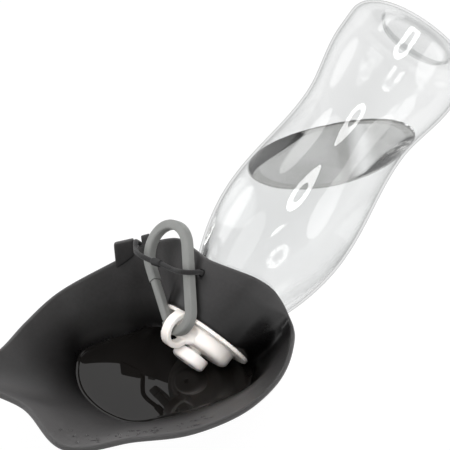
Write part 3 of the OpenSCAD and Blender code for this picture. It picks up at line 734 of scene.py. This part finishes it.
gate_cut, gate_sink = 0.6, 0.3
gate_sections = [bar_section(gate_w / 2 * share, bar_t / 2 - gate_sink, gate_cut * share)
                 for share in gate_width]
carabiner_arm = surface("carabiner_arm", hung(swept(gate_path, gate_sections)), sharp=30)
acetal = Finish("grey_acetal")
acetal_flow, acetal_grain = acetal.noise(70.0, 3.0), acetal.noise(1600.0)
acetal.show(acetal.node("ShaderNodeBsdfPrincipled", {}, {
    "Base Color": acetal.between(acetal_flow, (0.30, 0.306, 0.295), (0.47, 0.476, 0.46)),
    "Roughness": 0.38 + acetal_flow * 0.12 + acetal_grain * 0.08,
    "Normal": acetal.relief(acetal_grain, 0.15, 0.0001)}), carabiner_loop, carabiner_arm)
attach(carabiner_loop, "carabiner")
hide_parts("carabiner_body")
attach(carabiner_arm, "gate")
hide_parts("carabiner_gate")

# ---------------------------------------------------------------------------
# The bottle: blown from clear plastic, with a threaded neck, a belly, a grip
# waist, a base bulge and a pushed-up base.
bottle_l, waist_r, waist_s, base_r, bulge_s = 177.0, 29.3, 118.0, 35.0, 158.0
base_corner, base_ring_r, base_push, bottle_wall = 9.0, 21.0, 4.0, 1.2
neck_r, neck_bore, lip_s, thread_lead, thread_h = 15.0, 12.4, 6.0, 4.0, 0.24
around_steps = 181


def bottle_radius(s):
    """Outer radius at s: a rounded shoulder up to the belly, then the waist and the base
    bulge, each joined to the next by half a cosine wave."""
    rise = np.clip((s - shoulder_s) / (belly_s - shoulder_s), 0, 1)
    shoulder = shoulder_r + (belly_r - shoulder_r) * np.sin(np.pi / 2 * rise) ** 0.8

    def wave(a, b, low, high):
        return a + (b - a) * (1 - np.cos(np.pi * np.clip((s - low) / (high - low), 0, 1))) / 2
    return np.where(s < belly_s, shoulder,
                    np.where(s < waist_s, wave(belly_r, waist_r, belly_s, waist_s),
                             wave(waist_r, base_r, waist_s, bulge_s)))


side_s = shoulder_s + (bottle_l - base_corner - shoulder_s) * np.linspace(0, 1, 120) ** 1.3
side = np.stack([bottle_radius(side_s), side_s], axis=1)
curl = np.radians(np.linspace(0, 90, 14))[1:]


def base_of(depth):
    """Base from the wall to the axis: a corner arc, the standing ring and the push-up, all
    that depth inside the outer face, with the ring eased."""
    r = base_r - base_corner
    corner = np.stack([r + (base_corner - depth) * np.cos(curl),
                       bottle_l - base_corner + (base_corner - depth) * np.sin(curl)], axis=1)
    inner_line = np.array([[base_ring_r + 0.6, bottle_l - depth],
                           [base_ring_r - 0.2, bottle_l - depth - 0.1],
                           [base_ring_r - 1, bottle_l - depth - 0.7],
                           [base_ring_r - 3.2, bottle_l - depth - base_push + 0.6],
                           [base_ring_r - 4, bottle_l - depth - base_push + 0.15],
                           [base_ring_r - 5, bottle_l - depth - base_push],
                           [base_ring_r - 12, bottle_l - depth - base_push - 0.3],
                           [0.0, bottle_l - depth - base_push - 0.5]])
    return np.concatenate([corner, inner_line])


neck = np.array([[neck_bore, -lip_s], [neck_bore + 0.3, -lip_s], [neck_r - 0.3, -lip_s],
                 [neck_r, -lip_s + 0.3]])
thread_s = np.linspace(-lip_s + 0.6, shoulder_s - 0.6, 70)
outer_line = np.concatenate([neck, np.stack([np.full(70, neck_r), thread_s], 1),
                             [[neck_r + 0.4, shoulder_s - 0.15], [shoulder_r - 0.5, shoulder_s]],
                             side, base_of(0.0)])
inner_line = np.concatenate([base_of(bottle_wall)[::-1], (side - [bottle_wall, 0])[:0:-1],
                             [[shoulder_r - 1.7, shoulder_s + 1.0],
                              [neck_bore + 0.5, shoulder_s + 0.6],
                              [neck_bore, shoulder_s], [neck_bore, -lip_s]]])
bottle_line = np.concatenate([outer_line, inner_line])
around_phi = np.linspace(0, 360, around_steps)
line_r, line_s = bottle_line[:, :1], bottle_line[:, 1:2]
on_neck = (np.abs(line_r - neck_r) < 0.01) & (line_s > -lip_s + 1.5) & (line_s < shoulder_s - 1.5)
ridge = np.clip(np.cos(2 * np.pi * (line_s / thread_lead - around_phi / 360)), 0, 1) ** 0.7
# The plastic is thick at the standing ring's inner edge. The band there is darkened as
# painted shade, for the dark line that the thick, curved edge shows.
thick = np.exp(-((line_r - base_ring_r + 1.1) / 0.9) ** 2) * (line_s > bottle_l - 6)
bottle_blown = surface(
    "bottle_blown", on_axis(line_s, line_r + on_neck * thread_h * ridge, around_phi[None]),
    marks={"thick": np.repeat(thick, around_steps)})
clear = Finish("clear_bottle_plastic")
facing = clear.node("ShaderNodeLayerWeight", {}, {"Blend": 0.5}, 1)
# The thick mark darkens the see-through colour there as painted shade.
through = clear.node("ShaderNodeMixShader", {}, {
    0: facing**7 + clear.mark("thick") * 0.25,
    1: clear.node("ShaderNodeBsdfTransparent", {}, {"Color": (0.961, 0.963, 0.963)}),
    2: clear.node("ShaderNodeBsdfTransparent", {}, {"Color": (0.22, 0.23, 0.23)})})
gloss = clear.node("ShaderNodeBsdfGlossy", {}, {
    "Color": (1, 1, 1), "Roughness": 0.008,
    "Normal": clear.relief(clear.noise(35.0), 0.02, 0.001)})
clear.show(clear.node("ShaderNodeMixShader", {}, {
    0: facing**4 * 0.3 + facing**8 * 0.35 + 0.042, 1: through, 2: gloss}), bottle_blown)
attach(bottle_blown, "bottle")
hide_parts("bottle")

# The water in the bottle: it fills the neck end up to a level surface, with a
# meniscus up the wall.
water_z, water_rise, water_play = 96.5, 0.9, 0.15
fill_s = np.linspace(-lip_s + 0.4, bottle_l - base_corner, 500)
fill_r = np.where(fill_s < shoulder_s + 0.8, neck_bore - 0.2,
                  bottle_radius(fill_s) - bottle_wall - water_play)
fill_all = on_axis(fill_s[:, None], fill_r[:, None], around_phi[None])
top_row = len(fill_s) - 1 - np.argmax(fill_all[::-1, :, 2] < water_z + water_rise, axis=0)
fill_rows = [at_row(fill_all, top_row * t) for t in np.linspace(0, 1, 120) ** 0.9]
brim = fill_rows[-1]
brim_mid = on_axis((water_z - neck_z) / math.sin(bottle_tilt), 0.0, 0.0)
fill_top = []
for t in np.concatenate([np.linspace(0, 0.985, 26)[1:][::-1], [0]]):
    row = brim_mid + (brim - brim_mid) * t
    row[:, 2] = water_z + water_rise * np.exp(-np.linalg.norm((brim - row)[:, :2], axis=1))
    fill_top.append(row)
fill_low = [np.repeat(on_axis(fill_s[0], 0.0, 0.0)[None], around_steps, axis=0)]
# The level surface is painted grey, as painted reflection and shade: darker near the middle,
# paler in a band to the right of it as a painted reflection, and dark along its edge.
painted_level_shade = np.zeros((len(fill_low + fill_rows + fill_top), around_steps))
across = (np.array(fill_top) - brim_mid) @ right
painted_level_shade[-len(fill_top):] = (0.8 + 0.25 * np.exp(-((across - 4.5) / 3) ** 2)
                               - 0.6 * np.exp(-((across - 14) / 4.5) ** 2))
painted_level_shade[-len(fill_top) - 2:3 - len(fill_top)] = 1
bottle_water = surface("bottle_water", np.array(fill_low + fill_rows + fill_top),
                       marks={"level": painted_level_shade})
drink = Finish("bottled_water")
# The level mark paints the surface grey in the colour that tints the water: painted reflection
# and shade.
painted_greyness = drink.mark("level") * (0.75 + drink.noise(22.0, 1.0) * 0.7)
drink.show(drink.node("ShaderNodeBsdfPrincipled", {}, {
    "Base Color": drink.between(painted_greyness, (0.985, 0.99, 0.99), (0.22, 0.22, 0.21)),
    "Roughness": 0.0, "IOR": 1.333, "Transmission Weight": 1.0}), bottle_water)
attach(bottle_water, "gasket")

# ---------------------------------------------------------------------------
# The studio: a white floor, a soft overhead light, a softbox on each side and
# a ring lamp beside the lens, which shows as rings on the bottle.
floor_half, floor_z_below = 3000.0, -0.3
studio_floor = surface("studio_floor", np.array(
    [[[x, y, floor_z_below] for x in (-floor_half, floor_half)]
     for y in (-floor_half, floor_half)]))
pale = Finish("white_floor")
pale.show(pale.node("ShaderNodeBsdfPrincipled", {}, {
    "Base Color": pale.between(pale.noise(3.0), (0.095, 0.095, 0.095), (0.105, 0.105, 0.105)),
    "Roughness": 1.0, "Specular IOR Level": 0.0,
    "Emission Color": (1, 1, 1), "Emission Strength": 0.97}), studio_floor)
screen_far, screen_half_w, screen_h = 2400, 2600, 4000
screen_way = unit(-back * [1, 1, 0])
screen_side = np.array([-screen_way[1], screen_way[0], 0])
screen_foot = screen_way * screen_far - [0, 0, 0.2]
back_screen = surface("back_screen", np.array(
    [[screen_foot + screen_side * x + [0, 0, z] for x in (-screen_half_w, screen_half_w)]
     for z in (0, screen_h)]))
pale_screen = Finish("white_screen")
pale_screen.show(pale_screen.node("ShaderNodeEmission", {}, {
    "Color": (1, 1, 1), "Strength": 1.0}), back_screen)

# The sky is pale at the horizon and dark overhead.
world = bpy.data.worlds.new("studio")
world.use_nodes = True
sky = world.node_tree.nodes
height = sky.new("ShaderNodeSeparateXYZ")
shade = sky.new("ShaderNodeMapRange")
for key, value in (("From Min", 0.0), ("From Max", 0.7), ("To Min", 0.75), ("To Max", 0.05)):
    shade.inputs[key].default_value = value
for source, target in ((sky.new("ShaderNodeTexCoord").outputs["Generated"], height.inputs[0]),
                       (height.outputs["Z"], shade.inputs["Value"]),
                       (shade.outputs["Result"], sky["Background"].inputs["Color"])):
    world.node_tree.links.new(source, target)
bpy.context.scene.world = world


def softbox(name, place, wide, high, watts, only=None):
    """Oval light at a place, facing the object, in metres. With only, it lights just the
    pieces of that collection, and gloss and water don't show it."""
    light = bpy.data.lights.new(name, "AREA")
    light.shape, light.size, light.size_y, light.energy = "ELLIPSE", wide, high, watts
    lamp = bpy.data.objects.new(name, light)
    away = unit(place - middle)
    side = unit(np.cross([0, 0, 1.0], away))
    rise = np.cross(away, side)
    lamp.matrix_world = Matrix([*zip(side, rise, away, place), (0, 0, 0, 1)])
    if only:
        lamp.visible_glossy = lamp.visible_transmission = False
        lamp.light_linking.receiver_collection = only
    bpy.context.collection.objects.link(lamp)


middle, lamp_far = np.array([0.06, 0.0, 0.07]), 1.3
softbox("overhead", (0.1, 0.5, 1.9), 1.3, 1.0, 7)
softbox("left_box", (-1.8, 0.0, 1.05), 1.5, 1.7, 4.5)
softbox("back_left_box", (-0.8, 1.4, 0.85), 0.9, 1.1, 3.5)
softbox("right_box", (0.35, -1.8, 0.6), 0.9, 1.2, 4)
small_parts, black_parts = map(bpy.data.collections.new, ("small_parts", "black_parts"))
for group, pieces in ((small_parts, (cap_moulding, spout_button)),
                      (black_parts, (bowl_skin, bowl_ear))):
    for piece in pieces:
        group.objects.link(piece)
softbox("back_fill", (-0.9, 0.8, 1.2), 1.0, 1.0, 22, only=black_parts)
softbox("near_fill", (1.0, -0.8, 1.1), 1.0, 1.0, 14, only=black_parts)
softbox("front_fill", middle + lamp_far * unit(0.92 * back + 0.2 * up - 0.1 * right),
        1.0, 1.0, 19, only=small_parts)

ring_way, ring_inner_r, ring_outer_r = unit(0.87 * back + 0.47 * up + 0.15 * right), 125.0, 260.0
ring_mid = (middle + ring_way * lamp_far) * 1000
ring_side = unit(np.cross([0, 0, 1.0], ring_way))
ring_rise = np.cross(ring_way, ring_side)
ring_turn = np.linspace(0, 2 * np.pi, 49)[:, None]
ring_lamp = surface("ring_lamp", np.array([
    ring_mid + r * (np.cos(ring_turn) * ring_side + np.sin(ring_turn) * ring_rise)
    for r in (ring_inner_r, ring_outer_r)]))
glow = Finish("ring_lamp_glow")
glow.show(glow.node("ShaderNodeEmission", {}, {"Color": (1, 1, 1), "Strength": 6.0}), ring_lamp)
ring_lamp.visible_camera = False
ring_lamp.visible_shadow = False
